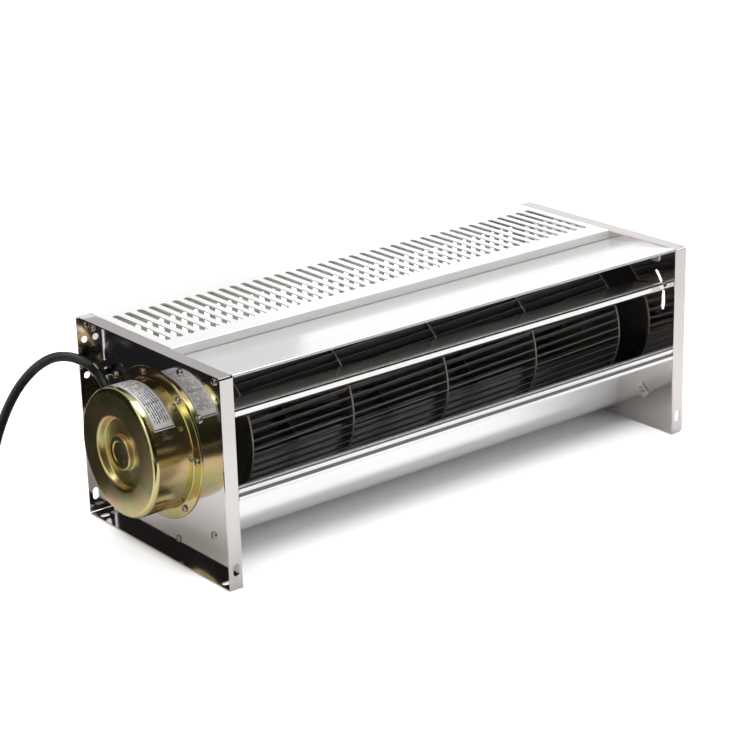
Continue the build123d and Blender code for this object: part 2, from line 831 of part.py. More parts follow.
def cable_coil():
    ring = Pos(*coil_centre, coil_plane_z) * (
        Cylinder(coil_mean_radius + coil_half_width, coil_height)
        - Cylinder(coil_mean_radius - coil_half_width, coil_height))
    return ring - cable_tube()


def on_coil(angle, height):
    turn = radians(angle)
    return Pos(coil_centre[0] + coil_mean_radius * cos(turn), coil_centre[1] + coil_mean_radius * sin(turn),
               height) * Rot(0, 0, angle)


def cable_tie():
    # A strap round the bundle with its small lock on top
    inside = Box(2 * (coil_half_width + tie_fit), 2 * tie_width, coil_height)
    band = Box(2 * (coil_half_width + tie_sheet), tie_width, coil_height + 2 * tie_sheet) - inside
    lock_z = coil_height / 2 + tie_sheet + tie_head_height / 2
    lock = Pos(0, 0, lock_z) * Box(tie_head, tie_head, tie_head_height)
    return on_coil(tie_angle, coil_plane_z) * (band + lock)


def cable_connector():
    # A round plug that lies on the coil: boot, body with a coupling ring, pins in its open face
    end = connector_length / 2
    body = Cylinder(connector_radius - connector_ring_rise, connector_length)
    ring = Pos(0, 0, end - connector_ring) * Cylinder(connector_radius, connector_ring)
    body += chamfer(ring.edges(), length=connector_ring_rise)
    body -= Pos(0, 0, end - socket_depth / 2) * Cylinder(socket_radius, socket_depth)
    pin = Pos(pin_circle, 0, end - socket_depth + pin_length / 2) * Cylinder(pin_radius, pin_length)
    for i in range(pin_count):
        body += Rot(0, 0, 45 + 360 / pin_count * i) * pin
    boot = Cone(connector_boot_end, connector_boot_radius, connector_boot)
    boot = Pos(0, 0, -end - connector_boot / 2) * boot
    place = on_coil(connector_angle, tie_sheet + coil_height + connector_radius)
    return place * Rot(-90, 0, 0) * (body + boot)


# Saddle clip that holds the cable to the left end plate, where the cable comes nearest to it
clip_bend = cable_path().edges().sort_by(cable_path())[3]
clip_spot = clip_bend @ 0.5
clip_turn = atan2((clip_bend % 0.5).Z, (clip_bend % 0.5).Y)
clip_heading = (0, cos(clip_turn), sin(clip_turn))
clip_cross = (0, sin(clip_turn), -cos(clip_turn))


def clip_screw_spot():
    reach = cable_radius + clip_fit + clip_sheet + clip_ear / 2
    return (clip_spot.Y + clip_cross[1] * reach, clip_spot.Z + clip_cross[2] * reach)


def clip_screw_hole():
    return rod(-flange_edge, -web_in + plate_sheet, screw_hole_radius, clip_screw_spot())


def cable_clip():
    # A strap that goes over the cable, with one screwed ear; its section has its height towards the left
    plane = Plane((-web_out, clip_spot.Y, clip_spot.Z), x_dir=clip_cross, z_dir=clip_heading)
    height = -web_out - clip_spot.X
    bore = cable_radius + clip_fit
    outer = bore + clip_sheet
    arch = Pos(0, height) * Circle(outer) + Pos(0, height / 2) * Rectangle(2 * outer, height)
    arch -= Pos(0, height) * Circle(bore) + Pos(0, height / 2) * Rectangle(2 * bore, height)
    arch += Pos(bore, 0) * Rectangle(clip_ear + clip_sheet, clip_sheet, align=(Align.MIN, Align.MIN))
    strap = extrude(plane * arch, amount=clip_width / 2, both=True)
    return strap - clip_screw_hole()


def cable_clip_screw():
    depth = clip_sheet + plate_sheet + screw_tail
    return mirror(screw(web_out + clip_sheet, depth, clip_screw_spot()), about=Plane.YZ)


nodes = {
    "left_end_plate": left_end_plate(),
    "right_end_plate": right_end_plate(),
    "top_grille": top_grille(),
    "rear_grille": rear_grille(),
    "front_cowl": front_cowl(),
    "scroll_sheet": scroll_sheet(),
    "frame_screws": frame_screws(),
    "tongue_pivots": tongue_pivots(),
    "tongue_bar": tongue_bar(),
    "tongue_clamp_screws": tongue_clamp_screws(),
    "drive_hub": hub(*hub_ends[0]),
    "end_hub": hub(*hub_ends[1]),
    "hub_rivets": hub_rivets(),
    "hub_set_screws": hub_set_screws(),
    "motor_shaft": motor_shaft(),
    "end_shaft": end_shaft(),
    "motor_rotor": motor_rotor(),
    "bearing_inner_rings": bearing_inner_rings(),
    "bearing_outer_rings": bearing_outer_rings(),
    "motor_front_cup": motor_front_cup(),
    "motor_rear_cup": motor_rear_cup(),
    "motor_label": motor_label(),
    "motor_flange_screws": motor_flange_screws(),
    "stator_core": stator_core(),
    "stator_coils": stator_coils(),
    "bearing_holder": bearing_holder(),
    "bearing_rubber_ring": bearing_rubber_ring(),
    "bearing_holder_screws": bearing_holder_screws(),
    "cable_grommet": cable_grommet(),
    "cable_clip": cable_clip(),
    "cable_clip_screw": cable_clip_screw(),
    "cable_tube": cable_tube(),
    "cable_coil": cable_coil(),
    "cable_tie": cable_tie(),
    "cable_connector": cable_connector(),
}
for index in range(row_count + 1):
    nodes[f"impeller_disc_{index + 1}"] = impeller_disc(index)
for index in range(row_count):
    nodes[f"blade_row_{index + 1}"] = blade_row(index)

os.makedirs("parts", exist_ok=True)
for name, shape in nodes.items():
    groups = [part.solids() for part in (shape if isinstance(shape, list) else [shape])]
    solids = [Compound(group) if len(group) > 1 else group[0] for group in groups]
    export_step(Compound(children=solids), f"parts/{name}.step")
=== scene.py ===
import json
from math import cos, pi, radians, sin

import bmesh
import bpy
from mathutils import Matrix, Vector

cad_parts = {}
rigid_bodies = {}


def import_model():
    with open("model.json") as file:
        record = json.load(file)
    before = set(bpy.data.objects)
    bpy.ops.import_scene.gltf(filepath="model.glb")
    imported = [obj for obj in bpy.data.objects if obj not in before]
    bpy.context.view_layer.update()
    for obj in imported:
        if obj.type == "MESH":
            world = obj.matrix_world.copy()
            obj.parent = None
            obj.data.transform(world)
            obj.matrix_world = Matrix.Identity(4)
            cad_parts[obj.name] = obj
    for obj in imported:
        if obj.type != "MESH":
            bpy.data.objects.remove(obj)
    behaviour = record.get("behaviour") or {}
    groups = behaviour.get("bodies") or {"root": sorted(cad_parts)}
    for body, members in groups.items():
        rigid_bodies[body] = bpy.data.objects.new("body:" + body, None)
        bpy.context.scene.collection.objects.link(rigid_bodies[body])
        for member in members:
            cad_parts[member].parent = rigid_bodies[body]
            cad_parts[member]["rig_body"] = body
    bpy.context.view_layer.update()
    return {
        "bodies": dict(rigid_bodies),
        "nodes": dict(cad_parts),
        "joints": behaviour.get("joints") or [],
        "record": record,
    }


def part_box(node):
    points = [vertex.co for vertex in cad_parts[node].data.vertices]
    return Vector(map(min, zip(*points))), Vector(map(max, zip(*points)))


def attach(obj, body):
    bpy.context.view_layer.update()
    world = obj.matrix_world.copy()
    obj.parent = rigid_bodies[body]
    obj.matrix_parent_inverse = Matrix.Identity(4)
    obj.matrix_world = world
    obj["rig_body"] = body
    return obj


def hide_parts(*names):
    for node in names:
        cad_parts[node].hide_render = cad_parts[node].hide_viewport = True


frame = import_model()
nodes = frame["nodes"]
print("frame loaded:", len(nodes), "nodes")

# All lengths are in metres
shaft = {"y": 0.010, "z": 0.110}  # the impeller's and the motor's axis, parallel to X
merge = {"cad": 2e-6, "made": 1e-6, "sliver": 1e-7}  # points nearer than this become one


# The camera stands where the photograph was taken from

photo = {
    "place": (-1.3577, -1.6813, 0.8968),
    "azimuth": -38.37,
    "elevation": 19.99,
    "roll": -1.52,
    "lens": 104.15,
    "sensor": 36,
}


def makeCamera():
    azimuth, elevation, roll = [radians(photo[key]) for key in ("azimuth", "elevation", "roll")]
    back = Vector((sin(azimuth) * cos(elevation), -cos(azimuth) * cos(elevation), sin(elevation)))
    right = Vector((0, 0, 1)).cross(back).normalized()
    up = back.cross(right)
    data = bpy.data.cameras.new("camera")
    data.lens = photo["lens"]
    data.sensor_width = photo["sensor"]
    camera = bpy.data.objects.new("camera", data)
    bpy.context.scene.collection.objects.link(camera)
    columns = (right * cos(roll) + up * sin(roll), up * cos(roll) - right * sin(roll), back)
    camera.matrix_world = Matrix.Translation(photo["place"]) @ Matrix(columns).transposed().to_4x4()
    bpy.context.scene.camera = camera


makeCamera()
print("camera placed")


# Meshes

def addPiece(name, mesh, paint, body, smooth=38):
    # Turns a bmesh into a finished piece; edges sharper than smooth, in degrees, stay crisp
    for face in mesh.faces:
        face.smooth = smooth > 0
    for edge in mesh.edges:
        edge.smooth = edge.calc_face_angle(0) < radians(smooth)
    data = bpy.data.meshes.new(name)
    mesh.to_mesh(data)
    mesh.free()
    piece = bpy.data.objects.new(name, data)
    bpy.context.scene.collection.objects.link(piece)
    data.materials.append(paint)
    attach(piece, body)
    return piece


def copyNode(node):
    # A CAD node's loose triangles, merged
    mesh = bmesh.new()
    mesh.from_mesh(nodes[node].data)
    bmesh.ops.remove_doubles(mesh, verts=mesh.verts, dist=merge["cad"])
    return mesh


def dressNode(node, paint):
    # A merged, smooth shaded copy of a CAD node, under the node's own name with a suffix
    piece = addPiece(node + "_finished", copyNode(node), paint, nodes[node]["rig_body"])
    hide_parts(node)


def drawProfile(points, rounds, segments=5):
    # An open profile as (along, radius) points, with some corners rounded: {index: reach of the round}
    mesh = bmesh.new()
    spots = [mesh.verts.new((along, 0, radius)) for along, radius in points]
    for pair in zip(spots, spots[1:]):
        mesh.edges.new(pair)
    for index, reach in rounds.items():
        bmesh.ops.bevel(mesh, geom=[spots[index]], offset=reach, segments=segments, profile=0.5,
                        affect="VERTICES", material=-1)
    return mesh


def turnProfile(mesh, steps):
    # Spins a profile round X and closes its poles
    bmesh.ops.spin(mesh, geom=mesh.verts[:] + mesh.edges[:], cent=(0, 0, 0), axis=(1, 0, 0), angle=2 * pi,
                   steps=steps, use_merge=True)
    bmesh.ops.remove_doubles(mesh, verts=mesh.verts, dist=merge["made"])
    bmesh.ops.dissolve_degenerate(mesh, edges=mesh.edges, dist=merge["sliver"])
    bmesh.ops.recalc_face_normals(mesh, faces=mesh.faces)
    return mesh


def makeBlock(size, place, edge=0, segments=1):
    # A box with bevelled edges, its middle at the place
    block = bmesh.new()
    bmesh.ops.create_cube(block, size=1)
    bmesh.ops.scale(block, verts=block.verts, vec=size)
    if edge:
        bmesh.ops.bevel(block, geom=block.edges[:], offset=edge, segments=segments, profile=0.5,
                        affect="EDGES", material=-1)
    bmesh.ops.translate(block, verts=block.verts, vec=place)
    return block


def moveTo(mesh, place, axis=(1, 0, 0), turn=0.0):
    # Lays a mesh that was made along X so that it runs along another axis from a place
    facing = Vector(axis).to_track_quat("X", "Z").to_matrix().to_4x4()
    matrix = Matrix.Translation(place) @ facing @ Matrix.Rotation(turn, 4, "X")
    bmesh.ops.transform(mesh, matrix=matrix, verts=mesh.verts)
    return mesh


def joinMeshes(meshes):
    whole = bmesh.new()
    for mesh in meshes:
        data = bpy.data.meshes.new("part")
        mesh.to_mesh(data)
        mesh.free()
        whole.from_mesh(data)
        bpy.data.meshes.remove(data)
    return whole


def onShaft(radius, angle, x):
    # A point round the shaft, the angle counted from the back towards the top
    return Vector((x, shaft["y"] + radius * cos(radians(angle)), shaft["z"] + radius * sin(radians(angle))))


# Shader nodes

class Value:
    # A shader socket that can stand in Python sums
    def __init__(self, paint, socket):
        self.paint = paint
        self.socket = socket

    def __add__(self, other):
        return self.paint.maths("ADD", self, other)

    __radd__ = __add__

    def __sub__(self, other):
        return self.paint.maths("SUBTRACT", self, other)

    def __rsub__(self, other):
        return self.paint.maths("SUBTRACT", other, self)

    def __mul__(self, other):
        return self.paint.maths("MULTIPLY", self, other)

    __rmul__ = __mul__

    def __truediv__(self, other):
        return self.paint.maths("DIVIDE", self, other)

    def __gt__(self, other):
        return self.paint.maths("GREATER_THAN", self, other)

    def __lt__(self, other):
        return self.paint.maths("LESS_THAN", self, other)


class Paint:
    # A material, or the world, that is put together node by node
    def __init__(self, name, shelf=bpy.data.materials):
        self.material = shelf.new(name)
        self.material.use_nodes = True
        self.tree = self.material.node_tree
        self.tree.nodes.clear()
        self.spot = self.node("ShaderNodeTexCoord", output="Object")

    def node(self, kind, settings=None, inputs=None, output=0):
        made = self.tree.nodes.new(kind)
        for key, value in (settings or {}).items():
            if key == "stops":
                self.fillRamp(made.color_ramp, value)
            else:
                setattr(made, key, value)
        for key, value in (inputs or {}).items():
            if isinstance(value, Value):
                self.tree.links.new(value.socket, made.inputs[key])
            else:
                made.inputs[key].default_value = value
        return Value(self, made.outputs[output])

    def maths(self, operation, *values):
        return self.node("ShaderNodeMath", {"operation": operation}, dict(enumerate(values)))

    def fillRamp(self, ramp, stops):
        while len(ramp.elements) < len(stops):
            ramp.elements.new(0.5)
        for element, (position, colour) in zip(ramp.elements, stops):
            element.position = position
            element.color = (*colour, 1)

    def noise(self, scale, detail, stretch=(1, 1, 1), distortion=0.0):
        spot = self.node("ShaderNodeMapping", {}, {"Vector": self.spot, "Scale": stretch})
        return self.node("ShaderNodeTexNoise", {}, {
            "Vector": spot, "Scale": scale, "Detail": detail, "Distortion": distortion})

    def along(self, axis):
        return self.node("ShaderNodeSeparateXYZ", {}, {0: self.spot}, output=axis)

    def fromShaft(self):
        # Distance from the axis of motor and impeller
        back = self.along(1) - shaft["y"]
        rise = self.along(2) - shaft["z"]
        return self.maths("SQRT", back * back + rise * rise)

    def between(self, value, low, high, newLow=0.0, newHigh=1.0):
        return self.node("ShaderNodeMapRange", {"interpolation_type": "SMOOTHSTEP"}, {
            "Value": value, "From Min": low, "From Max": high, "To Min": newLow, "To Max": newHigh})

    def mix(self, factor, first, second):
        colours = {6: asColour(first), 7: asColour(second)}  # the Mix node's two colour sockets
        return self.node("ShaderNodeMix", {"data_type": "RGBA"}, {0: factor, **colours}, output=2)

    def ramp(self, value, stops):
        return self.node("ShaderNodeValToRGB", {"stops": stops}, {0: value})

    def bump(self, height, strength, distance):
        return self.node("ShaderNodeBump", {}, {"Height": height, "Strength": strength, "Distance": distance})

    def finish(self, **sockets):
        names = {"colour": "Base Color", "metal": "Metallic", "rough": "Roughness", "normal": "Normal",
                 "coat": "Coat Weight", "coatRough": "Coat Roughness", "specular": "Specular IOR Level"}
        inputs = {names[key]: asColour(value) if key == "colour" else value for key, value in sockets.items()}
        self.close(self.node("ShaderNodeBsdfPrincipled", {}, inputs))
        return self.material

    def close(self, shader, kind="ShaderNodeOutputMaterial"):
        output = self.tree.nodes.new(kind)
        self.tree.links.new(shader.socket, output.inputs["Surface"])


def asColour(value):
    return value if isinstance(value, Value) or len(value) == 4 else (*value, 1)


# Finishes

def rolledSteel(name, pale, deep, rough, grainDepth, spread):
    # Bright rolled sheet: fine grain along the fan, faint clouds and handling smears
    paint = Paint(name)
    grain = paint.noise(60, 4, (0.25, 14, 14))
    cloud = paint.between(paint.noise(7, 3, (0.5, 1, 1)), 0.35, 0.65)
    smear = paint.between(paint.noise(26, 4, (1, 2.2, 1), 1.5), 0.5, 0.72)
    colour = paint.mix(cloud * 0.7 + grain * 0.3, deep, pale)
    roughness = rough + spread * smear + spread * (grain - 0.5)
    return paint.finish(colour=colour, metal=1.0, rough=roughness,
                        normal=paint.bump(grain, grainDepth, 0.0002))


zincFacts = {"face": (0.0600, 0.0645)}  # from the shaft: where the dull end face turns into the bright side


def yellowZinc():
    # Passivated zinc: gold that runs into olive and pink in soft patches
    paint = Paint("yellow_zinc")
    patches = paint.noise(13, 3, (1.4, 1, 1), 0.8)
    fine = paint.noise(150, 3)
    tint = paint.ramp(patches, [
        (0.30, (0.60, 0.46, 0.17)), (0.40, (0.72, 0.57, 0.23)), (0.48, (0.61, 0.60, 0.29)),
        (0.55, (0.77, 0.61, 0.30)), (0.63, (0.80, 0.53, 0.36)), (0.74, (0.70, 0.55, 0.23))])
    worn = paint.between(paint.noise(45, 5, (1, 1, 1), 0.5), 0.60, 0.72)
    colour = paint.mix(worn * 0.4, tint, (0.74, 0.66, 0.48))
    face = 1.0 - paint.between(paint.fromShaft(), *zincFacts["face"])
    roughness = 0.12 + 0.17 * face + 0.06 * paint.between(patches, 0.35, 0.65) + 0.03 * fine
    return paint.finish(colour=colour, metal=1.0, rough=roughness, normal=paint.bump(fine, 0.04, 0.0002))


def galvanised(name, pale, deep, rough, metal):
    # Sheet with a soft, cloudy zinc surface that scatters part of the light
    paint = Paint(name)
    grain = paint.noise(60, 4, (0.3, 10, 10))
    cloud = paint.between(paint.noise(9, 4, (0.35, 1, 1), 0.4), 0.35, 0.65)
    streak = paint.between(paint.noise(18, 3, (0.15, 4, 4)), 0.45, 0.70)
    colour = paint.mix(cloud * 0.6 + streak * 0.4, pale, deep)
    return paint.finish(colour=colour, metal=metal, rough=rough + 0.05 * streak + 0.04 * grain,
                        normal=paint.bump(grain, 0.015, 0.0002))


labelFacts = {
    "left": -0.331, "width": 0.023,
    "low": 147, "high": 58,  # degrees round the shaft, counted from the back
    "rows": 9, "rowFill": (0.26, 0.72),  # the part of each row that its bars fill
    "rowStep": 7.3, "barRate": 46, "gaps": 0.43,  # how the bars differ between rows, their number and spacing
    # Margins as shares of the label's width and of its length
    "text": (0.10, 0.07), "frameInner": (0.045, 0.02), "frameOuter": (0.018, 0.008),
    "rules": (0.36, 0.70), "ruleHalf": 0.004,
}


def printedLabel():
    # Silver foil with a frame, ruled fields and rows of plain bars round the motor
    facts = labelFacts
    paint = Paint("label_foil")
    turn = paint.maths("ARCTAN2", paint.along(2) - shaft["z"], paint.along(1) - shaft["y"]) * (180 / pi)
    across = (paint.along(0) - facts["left"]) / facts["width"]
    down = (turn - facts["high"]) / (facts["low"] - facts["high"])

    def inside(margins):
        side, end = margins
        return (across > side) * (across < 1 - side) * (down > end) * (down < 1 - end)

    row = paint.maths("FRACT", across * facts["rows"])
    inRow = (row > facts["rowFill"][0]) * (row < facts["rowFill"][1])
    rowNumber = paint.maths("FLOOR", across * facts["rows"])
    wordSpot = paint.node("ShaderNodeCombineXYZ", {}, {
        0: rowNumber * facts["rowStep"], 1: down * facts["barRate"], 2: 0.0})
    words = paint.node("ShaderNodeTexNoise", {}, {"Vector": wordSpot, "Scale": 1.0, "Detail": 1.0})
    inText = inside(facts["text"])
    bars = inRow * (words > facts["gaps"]) * inText
    frame = inside(facts["frameOuter"]) - inside(facts["frameInner"])
    upper, lower = [paint.maths("ABSOLUTE", down - share) < facts["ruleHalf"] for share in facts["rules"]]
    ink = paint.between(bars * 0.9 + frame + (upper + lower) * inText, 0.2, 0.8)
    stain = paint.noise(60, 4)
    foil = paint.mix(stain, (0.86, 0.86, 0.85), (0.70, 0.70, 0.695))
    return paint.finish(colour=paint.mix(ink, foil, (0.06, 0.06, 0.065)), metal=0.3 - 0.25 * ink,
                        rough=0.34 + 0.12 * stain + 0.3 * ink, specular=0.2)


def plainMetal(name, pale, deep, rough):
    paint = Paint(name)
    grain = paint.noise(90, 4)
    worn = paint.between(paint.noise(27, 3), 0.4, 0.65)
    colour = paint.mix(worn, deep, pale)
    return paint.finish(colour=colour, metal=1.0, rough=rough + 0.1 * grain,
                        normal=paint.bump(grain, 0.05, 0.0002))


blackFacts = {"wear_and_edge_highlight": (0.0742, 0.0750)}  # from the shaft: where the painted highlight begins that makes the outer edges brighter


def blackAluminium():
    # Black coated strip, with the sheet's grain, slightly rubbed spots and a painted highlight along the
    # outer edges
    paint = Paint("black_aluminium")
    grain = paint.noise(70, 4, (0.3, 8, 8))
    wear_and_edge_highlight = paint.between(paint.noise(22, 4, (0.6, 1, 1), 0.6), 0.58, 0.74)
    colour = paint.mix(wear_and_edge_highlight * 0.5 + grain * 0.3, (0.095, 0.088, 0.082), (0.17, 0.16, 0.148))
    # Painted highlight: past this distance from the shaft, the outer edges of blades and discs are painted
    # brighter
    edge = paint.between(paint.fromShaft(), *blackFacts["wear_and_edge_highlight"])
    colour = paint.mix(edge * 0.75, colour, (0.36, 0.34, 0.31))
    return paint.finish(colour=colour, metal=0.20, rough=0.40 + 0.10 * grain, coat=1.0, coatRough=0.16,
                        normal=paint.bump(grain, 0.05, 0.0003))


def darkRubber(name, base, rough):
    paint = Paint(name)
    fine = paint.noise(420, 3)
    dust = paint.between(paint.noise(30, 4), 0.52, 0.75)
    colour = paint.mix(dust * 0.35, base, tuple(channel * 2.6 + 0.01 for channel in base))
    return paint.finish(colour=colour, metal=0.0, rough=rough + 0.14 * dust,
                        normal=paint.bump(fine, 0.10, 0.0003))


def ironLaminate():
    # The edges of stacked sheets show as fine rings across the axis
    paint = Paint("iron_laminate")
    sheets = paint.node("ShaderNodeTexWave", {"wave_type": "BANDS", "bands_direction": "X"}, {
        "Vector": paint.spot, "Scale": 320})
    stain = paint.noise(40, 3)
    colour = paint.mix(stain, (0.16, 0.16, 0.17), (0.34, 0.33, 0.32))
    return paint.finish(colour=colour, metal=0.9, rough=0.42 + 0.1 * stain,
                        normal=paint.bump(sheets, 0.4, 0.0003))


def woundCopper():
    paint = Paint("wound_copper")
    strands = paint.node("ShaderNodeTexWave", {"wave_type": "BANDS", "bands_direction": "DIAGONAL"}, {
        "Vector": paint.spot, "Scale": 260, "Distortion": 1.0})
    colour = paint.mix(strands, (0.32, 0.11, 0.04), (0.72, 0.32, 0.14))
    return paint.finish(colour=colour, metal=0.85, rough=0.34, normal=paint.bump(strands, 0.5, 0.0004))


finishes = {
    "plate": rolledSteel("plate_steel", (0.78, 0.738, 0.728), (0.70, 0.658, 0.648), 0.075, 0.01, 0.03),
    "grille": galvanised("grille_steel", (0.90, 0.90, 0.88), (0.80, 0.805, 0.79), 0.40, 0.45),
    "cowl": galvanised("cowl_steel", (0.93, 0.935, 0.925), (0.86, 0.865, 0.855), 0.20, 0.70),
    "scroll": galvanised("scroll_steel", (0.97, 0.96, 0.95), (0.90, 0.89, 0.88), 0.12, 0.84),
    "tongue": rolledSteel("tongue_steel", (0.98, 0.97, 0.955), (0.92, 0.91, 0.895), 0.13, 0.01, 0.03),
    "label": printedLabel(),
    "zinc": yellowZinc(),
    "screw": plainMetal("screw_steel", (0.72, 0.70, 0.64), (0.48, 0.46, 0.40), 0.22),
    "hub": plainMetal("turned_aluminium", (0.78, 0.78, 0.79), (0.62, 0.62, 0.63), 0.26),
    "shaft": plainMetal("ground_steel", (0.70, 0.70, 0.70), (0.58, 0.58, 0.58), 0.18),
    "bearing": plainMetal("bearing_steel", (0.78, 0.78, 0.78), (0.66, 0.66, 0.66), 0.14),
    "holder": plainMetal("plated_steel", (0.74, 0.74, 0.73), (0.60, 0.60, 0.59), 0.28),
    "black": blackAluminium(),
    "tabs": plainMetal("rubbed_tabs", (0.30, 0.30, 0.29), (0.10, 0.10, 0.10), 0.35),
    "rotor": plainMetal("rotor_iron", (0.36, 0.36, 0.36), (0.24, 0.24, 0.25), 0.4),
    "stator": ironLaminate(),
    "copper": woundCopper(),
    "cable": darkRubber("cable_rubber", (0.016, 0.016, 0.017), 0.38),
    "grommet": darkRubber("grommet_rubber", (0.012, 0.012, 0.012), 0.5),
    "ring": darkRubber("ring_rubber", (0.02, 0.02, 0.02), 0.6),
    "tie": darkRubber("tie_plastic", (0.02, 0.02, 0.02), 0.4),
    "connector": plainMetal("connector_metal", (0.70, 0.70, 0.71), (0.56, 0.56, 0.57), 0.3),
}
print("finishes ready:", len(finishes))


# Cable with its coil, tie and plug

cableFacts = {
    "radius": 0.005,
    "roundSteps": 5, "lengthSteps": 6,
    "route": [
        (-0.3080, 0.0620, 0.1438), (-0.3080, 0.0830, 0.1574), (-0.3035, 0.0980, 0.1645),
        (-0.3075, 0.1130, 0.1700), (-0.3180, 0.1270, 0.1755), (-0.3330, 0.1385, 0.1745),
        (-0.3510, 0.1450, 0.1640), (-0.3690, 0.1515, 0.1435), (-0.3850, 0.1570, 0.1120),
        (-0.3950, 0.1630, 0.0760), (-0.4050, 0.1700, 0.0380), (-0.4200, 0.1775, 0.0130),
        (-0.4450, 0.1835, 0.0050), (-0.4740, 0.1860, 0.0062)],
    "coilCentre": (-0.490, 0.126),
    # Stages of the coil: angle in degrees, radius and height
    "turns": [(90, 0.060, 0.0062), (430, 0.060, 0.0062), (475, 0.050, 0.0062), (790, 0.050, 0.0062),
              (850, 0.055, 0.0150), (1235, 0.055, 0.0150), (1344, 0.068, 0.0312)],
    "step": 15,
    "length": 1.56,
}


def onCoil(angle, radius, height):
    turn = radians(angle)
    middle = cableFacts["coilCentre"]
    return (middle[0] + radius * cos(turn), middle[1] + radius * sin(turn), height)


def coilPoints():
    # Angle, radius and height run evenly from one stage of the turns to the next
    points = []
    stages = cableFacts["turns"]
    for (start, radius, height), (end, nextRadius, nextHeight) in zip(stages, stages[1:]):
        count = round((end - start) / cableFacts["step"])
        for i in range(count):
            share = i / count
            points.append(onCoil(start + (end - start) * share, radius + (nextRadius - radius) * share,
                                 height + (nextHeight - height) * share))
    return points[1:]


def makeCable():
    points = cableFacts["route"] + coilPoints() + [plugPoint(plugFacts["cableEnd"])]
    data = bpy.data.curves.new("cable", "CURVE")
    data.dimensions = "3D"
    data.bevel_depth = cableFacts["radius"]
    data.bevel_resolution = cableFacts["roundSteps"]
    data.resolution_u = cableFacts["lengthSteps"]
    data.use_fill_caps = True
    spline = data.splines.new("NURBS")
    spline.points.add(len(points) - 1)
    for point, place in zip(spline.points, points):
        point.co = (*place, 1)
    spline.order_u = 3
    spline.use_endpoint_u = True
    data.materials.append(finishes["cable"])
    cable = bpy.data.objects.new("cable", data)
    bpy.context.scene.collection.objects.link(cable)
    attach(cable, "housing")
    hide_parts("cable_tube", "cable_coil")
    return cable


plugFacts = {
    "angle": 300, "radius": 0.055, "height": 0.0312,  # where it lies on the coil
    # Outlines as (along, radius), counted from the plug's middle
    "body": [(0.022, 0.0), (0.013, 0.0), (0.013, 0.0080), (0.0215, 0.0080), (0.022, 0.0085), (0.022, 0.0090),
             (0.0163, 0.0090), (0.0163, 0.0100), (0.0043, 0.0100), (0.0043, 0.0090), (-0.0175, 0.0090),
             (-0.0175, 0.0082), (-0.0195, 0.0082), (-0.0195, 0.0088), (-0.022, 0.0088), (-0.022, 0.0)],
    "boot": [(-0.022, 0.0), (-0.022, 0.0070), (-0.0255, 0.0070), (-0.0255, 0.0062), (-0.0275, 0.0062),
             (-0.0275, 0.0068), (-0.0305, 0.0067), (-0.0305, 0.0059), (-0.0325, 0.0059), (-0.0325, 0.0065),
             (-0.0355, 0.0063), (-0.0400, 0.0060), (-0.0400, 0.0052), (-0.036, 0.0052), (-0.036, 0.0)],
    "rounds": {8: 0.0006, 7: 0.0006, 13: 0.0004},
    "steps": 56, "bootSteps": 32,
    "ringRadius": 0.0094, "ribShrink": 0.95,  # what lies outside this radius is ribbed
    "pins": 4, "firstPin": 45, "pinCircle": 0.004, "pinFoot": 0.013, "pinSteps": 16,
    "pin": [(0.0, 0.0), (0.0, 0.0012), (0.0062, 0.0012), (0.0068, 0.0006), (0.0068, 0.0)],
    "cableEnd": -0.036,
}


def plugAxis():
    turn = radians(plugFacts["angle"])
    return Vector((-sin(turn), cos(turn), 0))


def plugPoint(along):
    # A point on the plug's axis, counted from its middle
    middle = Vector(onCoil(plugFacts["angle"], plugFacts["radius"], plugFacts["height"]))
    return tuple(middle + plugAxis() * along)


def makePlug():
    facts = plugFacts
    body = turnProfile(drawProfile(facts["body"], facts["rounds"], 2), facts["steps"])
    # Every second edge of the coupling ring stands in a little, so that the ring is ribbed
    for vert in body.verts:
        step = round(vert.co.yz.angle_signed(Vector((1, 0)), 0) / (2 * pi / facts["steps"]))
        if step % 2 and vert.co.yz.length > facts["ringRadius"]:
            vert.co.yz = vert.co.yz * facts["ribShrink"]
    boot = turnProfile(drawProfile(facts["boot"], {}), facts["bootSteps"])
    pins = []
    for number in range(facts["pins"]):
        turn = radians(facts["firstPin"] + 360 / facts["pins"] * number)
        pin = turnProfile(drawProfile(facts["pin"], {}), facts["pinSteps"])
        foot = (facts["pinFoot"], facts["pinCircle"] * cos(turn), facts["pinCircle"] * sin(turn))
        pins.append(moveTo(pin, foot))
    plug = moveTo(joinMeshes([body] + pins), plugPoint(0), plugAxis())
    piece = addPiece("plug_body", plug, finishes["connector"], "housing")
    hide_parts("cable_connector")
    bootPiece = addPiece("plug_boot", moveTo(boot, plugPoint(0), plugAxis()), finishes["grommet"], "housing")
    return [piece, bootPiece]


tieFacts = {
    "angle": 205, "radius": 0.055, "height": 0.0112,  # where it holds the coil
    "half": 0.0101, "corner": 0.0042, "width": 0.0048, "sheet": 0.0011,
    "lock": (0.006, 0.006, 0.0028), "lockEdge": 0.0005,
    "cutEnd": (0.0042, 0.0046, 0.0011), "cutEndAt": 0.005,
    "rise": 0.0127,  # of lock and cut end over the strap's middle
}


